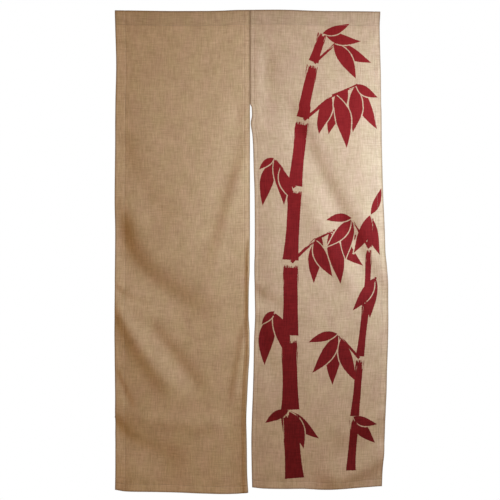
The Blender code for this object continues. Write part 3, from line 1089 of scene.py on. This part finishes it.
def weave_height(flat):
    """The plain weave's relief, from 0 to 1."""
    across, along, _ = parts(flat)
    turn = 2 * math.pi / YARN_PITCH
    return (across * turn).maths("SINE") * (along * turn).maths("SINE") * 0.5 + 0.5


# %% Bare cloth
YARN_MIDDLE = 0.45
WEAVE_SHOWS = 0.10
HUE_PATCHES_ACROSS, HUE_PATCHES_DOWN = 26, 14
HUE_SHIFT = 31.0
HUE_SWING = 0.25
SLEEVE_RIM = 0.5 * MM


def remembered(tree, name):
    """A share from 0 to 1 that was stored on the mesh."""
    return node(tree, "ShaderNodeAttribute", {"attribute_name": name}, output="Fac")


def cloth_colour(flat, tone, weave, length_and_lighting_tint):
    """The yarns' colour, its patches, tints and painted light and shade, and the lighter hems."""
    tree = flat.tree
    light_yarn = (tone + weave * WEAVE_SHOWS + YARN_MIDDLE).maths("MAXIMUM", 0.0)
    golden = spread(grain(flat, HUE_PATCHES_ACROSS, HUE_PATCHES_DOWN, shift=HUE_SHIFT), -HUE_SWING, HUE_SWING)
    colour = mixed(tree, light_yarn, LINEN_DARK, LINEN_LIGHT)
    # Each length's own tint also paints light: the lit right panel greyer, the shaded left one warmer.
    for tint in (mixed(tree, golden, LINEN_ROSY, LINEN_GOLDEN), length_and_lighting_tint):
        colour = mixed(tree, 1.0, colour, tint, "MULTIPLY")
    doubled, painted_shade = remembered(tree, "doubled"), remembered(tree, "painted_shade")
    # Painted shade over the sleeve, where the doubled cloth lets less light through.
    sleeve_shade = spread(parts(flat)[1], SLEEVE_DROP + SLEEVE_RIM, SLEEVE_DROP - SLEEVE_RIM)
    # The hems are lighter; the sleeve, the edges and the stitch grooves get painted shade.
    for share, tint in ((doubled, LINEN_HEM), (sleeve_shade, LINEN_SLEEVE_SHADE), (painted_shade, LINEN_PAINTED_SHADE)):
        colour = mixed(tree, share, colour, mixed(tree, 1.0, colour, tint, "MULTIPLY"))
    return colour


# %% Ink on the cloth
INK = (0.235, 0.006, 0.009, 1.0)
INK_POOLED = (0.12, 0.0015, 0.004, 1.0)
INK_BEHIND = 0.10
INK_COVERS = 0.985
BACK_TO_FRONT = (0.4, 0.6)
BLEED = 1.6 * MM
BLEED_GRAIN = 210.0
RIM_SOFTNESS = 0.45 * MM
RIM_ON_YARN = 0.6 * MM
POOL_RIM = (-1.0 * MM, 0.3 * MM)
POOL_AT_RIM = 0.25
POOL_ON_YARN = 0.9
POOL_DROP = (0.15, 1.35)
POOL_BELOW = 0.75


def ink_on(flat, tone):
    """How much ink lies on the cloth, from 0 to 1, and its colour."""
    tree = flat.tree
    _, along, side = parts(flat)
    sockets = {"Vector": flat, "Scale": BLEED_GRAIN, "Detail": 3.0}
    wander = node(tree, "ShaderNodeTexNoise", {"noise_dimensions": "2D"}, sockets, "Color")
    wander = wander.vector_maths("SUBTRACT", (0.5, 0.5, 0.5)).vector_maths("MULTIPLY", (BLEED, BLEED, 0.0))
    distance = painting_distance(flat.vector_maths("ADD", wander))
    ink = spread(distance + tone * RIM_ON_YARN, RIM_SOFTNESS, -RIM_SOFTNESS)
    front = spread(side, *BACK_TO_FRONT)
    ink = ink * (front * (1 - INK_BEHIND) + INK_BEHIND)
    pooled = spread(distance, *POOL_RIM) * POOL_AT_RIM - tone * POOL_ON_YARN
    pooled = (pooled + spread(along, *POOL_DROP) * POOL_BELOW).maths("MAXIMUM", 0.0).maths("MINIMUM", 1.0)
    return ink, mixed(tree, pooled, INK, INK_POOLED)


# %% The linen of each panel
LINEN_ROUGHNESS = 0.92
YARN_GLOSS = 0.1
INK_GLOSS = 0.12
WEAVE_RISES = 0.5
YARN_RISES = 0.8
RELIEF_STRENGTH = 0.35
RELIEF_DEPTH = 0.6 * MM
LINEN_SPECULAR = 0.1


def make_linen(name, length_and_lighting_tint, painted):
    material, tree, shader = new_material(name)
    flat = node(tree, "ShaderNodeAttribute", {"attribute_name": "flat"}, output="Vector")
    tone, weave = yarn_tone(flat), weave_height(flat)
    colour = cloth_colour(flat, tone, weave, length_and_lighting_tint)
    roughness = LINEN_ROUGHNESS - tone * YARN_GLOSS
    if painted:
        ink, ink_colour = ink_on(flat, tone)
        colour = mixed(tree, ink * INK_COVERS, colour, ink_colour)
        roughness = roughness - ink * INK_GLOSS
    height = weave * WEAVE_RISES + tone * YARN_RISES
    give_finish(shader, colour, roughness, (height, RELIEF_STRENGTH, RELIEF_DEPTH))
    shader.inputs["Specular IOR Level"].default_value = LINEN_SPECULAR
    print(name, "has", len(tree.nodes), "nodes")
    return material


# The left length's warmer tint also paints shade, and the right one's greyer tint paints light.
linen = {
    "panel_left": make_linen("linen", LINEN_WARM_LENGTH_AND_SHADE, painted=False),
    "panel_right": make_linen("painted linen", LINEN_GREY_LENGTH_AND_LIGHT, painted=True),
}

# %% [markdown]
# ## Thread
#
# The thread is spun polyester in the cloth's own colour. Two plies twisted together show as slanting bands.
# They could be modelled, but a stitch is half a millimetre thick, so a wave runs diagonally over it
# instead, in colour and in relief.

# %% The thread material
THREAD_DARK = (0.34, 0.225, 0.14, 1.0)
THREAD_LIGHT = (0.55, 0.40, 0.29, 1.0)
PLY_PITCH = 0.55 * MM
PLY_SHOWS = 0.6
FUZZ_SHOWS = 0.5
FUZZ_GRAIN = 900.0
THREAD_ROUGHNESS = 0.75
THREAD_GLOSS = 0.2
THREAD_RELIEF_STRENGTH = 0.5
THREAD_RELIEF_DEPTH = 0.1 * MM
THREAD_SHEEN = 0.1


def make_thread():
    material, tree, shader = new_material("sewing thread")
    place = node(tree, "ShaderNodeTexCoord", output="Object")
    x, y, z = parts(place)
    ply = ((x + y + z) * (2 * math.pi / PLY_PITCH)).maths("SINE") * 0.5 + 0.5
    fuzz = node(tree, "ShaderNodeTexNoise", None, {"Vector": place, "Scale": FUZZ_GRAIN, "Detail": 2.0})
    light = (ply * PLY_SHOWS + fuzz * FUZZ_SHOWS).maths("MINIMUM", 1.0)
    colour = mixed(tree, light, THREAD_DARK, THREAD_LIGHT)
    relief = (light, THREAD_RELIEF_STRENGTH, THREAD_RELIEF_DEPTH)
    give_finish(shader, colour, THREAD_ROUGHNESS - light * THREAD_GLOSS, relief)
    shader.inputs["Sheen Weight"].default_value = THREAD_SHEEN
    print(material.name, "has", len(tree.nodes), "nodes")
    return material


thread = make_thread()

# %% [markdown]
# ## Dressing the frame
#
# Every piece now gets its finish and its place in the frame. A panel's cloth stands for that panel's solid,
# its stitches go with it, and both ride on the one body.

# %% Finishes and bodies
for panel in PANELS:
    cloth, stitching = cloths[panel.name], stitches[panel.name]
    cloth.data.materials.append(linen[panel.name])
    stitching.data.materials.append(thread)
    for piece in (cloth, stitching):
        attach(piece, "root")
    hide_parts(panel.name)

# %% [markdown]
# ## Light and camera
#
# Soft window light falls on the curtain from close by on the right, so each fold shows as a bright slope
# beside a dark one, and the light fades to the left and downwards. A far light would reach both panels
# alike. The window is cool and the room's light is warm, so lit cloth looks grey and shaded cloth golden. A
# weak sky light greys the right edge, and a light from behind is there for the back. The camera sees the
# room as plain white, and a pale round floor lies well below the foot of the cloth.

# %% The camera, square on to the cloth
FRAME_PIXELS = 500
CURTAIN_PIXELS = 273.6
CURTAIN_WIDTH = 848 * MM
TOP_PIXEL = 9.8
CAMERA_AWAY = 4.0

pixel = CURTAIN_WIDTH / CURTAIN_PIXELS
camera_data = bpy.data.cameras.new("camera")
camera_data.lens = camera_data.sensor_width * CAMERA_AWAY / (FRAME_PIXELS * pixel)
camera = put_in_scene("camera", camera_data)
camera.location = (0.0, -CAMERA_AWAY, -(FRAME_PIXELS / 2 - TOP_PIXEL) * pixel)
camera.rotation_euler = (math.pi / 2, 0, 0)
bpy.context.scene.camera = camera
print("The lens is", round(camera_data.lens, 1), "mm, and a pixel covers", round(pixel / MM, 2), "mm")

# %% Lights
Light = namedtuple("Light", "name place target size power colour")
LIGHTS = [
    Light("window light", (0.76, -0.84, -0.40), (0.05, 0.0, -0.65), 0.3, 15.2, (0.63, 0.79, 1.0)),
    Light("sky light", (0.95, -0.42, -0.50), (0.35, 0.0, -0.60), 0.4, 2.2, (0.25, 0.72, 1.0)),
    Light("light from behind", (-1.3, 1.6, 0.1), (0.0, 0.0, -0.75), 0.8, 26.0, (0.86, 0.93, 1.0)),
]
ROOM_COLOUR = (1.0, 0.66, 0.30, 1.0)
ROOM_STRENGTH = 0.368
WHITE = (1.0, 1.0, 1.0, 1.0)


def area_light(light):
    """A round lamp that the camera doesn't see."""
    made = bpy.data.lights.new(light.name, "AREA")
    made.shape = "DISK"
    made.size = light.size
    made.energy = light.power
    made.color = light.colour
    lamp = put_in_scene(light.name, made)
    lamp.location = light.place
    lamp.visible_camera = False
    lamp.rotation_euler = (Vector(light.target) - Vector(light.place)).to_track_quat("-Z", "Y").to_euler()


def white_room():
    """Soft light from all round, which the camera sees as plain white."""
    world = bpy.data.worlds.new("white room")
    world.use_nodes = True
    tree = world.node_tree
    tree.nodes.clear()
    seen = node(tree, "ShaderNodeLightPath", output="Is Camera Ray")
    lit = node(tree, "ShaderNodeBackground", None, {"Color": ROOM_COLOUR, "Strength": ROOM_STRENGTH})
    shown = node(tree, "ShaderNodeBackground", None, {"Color": WHITE, "Strength": 1.0})
    both = node(tree, "ShaderNodeMixShader", None, {0: seen, 1: lit, 2: shown})
    node(tree, "ShaderNodeOutputWorld", None, {"Surface": both})
    bpy.context.scene.world = world


for light in LIGHTS:
    area_light(light)
white_room()
bpy.context.scene.view_settings.view_transform = "Standard"
print("The room's own light and", len(LIGHTS), "lamps")

# %% A pale floor
FLOOR_DROP = 2.2
FLOOR_RADIUS = 1.5
FLOOR_PALE = (0.74, 0.82, 0.92, 1.0)
FLOOR_PALER = (0.79, 0.87, 0.96, 1.0)
FLOOR_SIDES = 96
FLOOR_CLOUDS = 6.0
FLOOR_ROUGHNESS = 0.8


def make_floor():
    bpy.ops.mesh.primitive_circle_add(
        vertices=FLOOR_SIDES, radius=FLOOR_RADIUS, fill_type="NGON", location=(0, 0, -FLOOR_DROP)
    )
    floor = bpy.context.object
    floor.name = "floor"
    material, tree, shader = new_material("pale plaster")
    place = node(tree, "ShaderNodeTexCoord", output="Object")
    cloud = node(tree, "ShaderNodeTexNoise", None, {"Vector": place, "Scale": FLOOR_CLOUDS, "Detail": 4.0})
    plug(tree, mixed(tree, cloud, FLOOR_PALE, FLOOR_PALER), shader.inputs["Base Color"])
    shader.inputs["Roughness"].default_value = FLOOR_ROUGHNESS
    floor.data.materials.append(material)
    floor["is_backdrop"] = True


make_floor()
print("The floor lies", FLOOR_DROP, "metres below the head")

# %% [markdown]
# ## Measure and finish
#
# The dressed curtain must keep the size of its solids, so its box is printed. The eye can't judge that,
# because the soft rounding of a hem hides a millimetre.

# %% The dressed curtain's box, and the end
seen_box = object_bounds()
lowest, highest = ([round(n, 4) for n in corner] for corner in seen_box)
print("The dressed curtain reaches from", lowest, "to", highest)
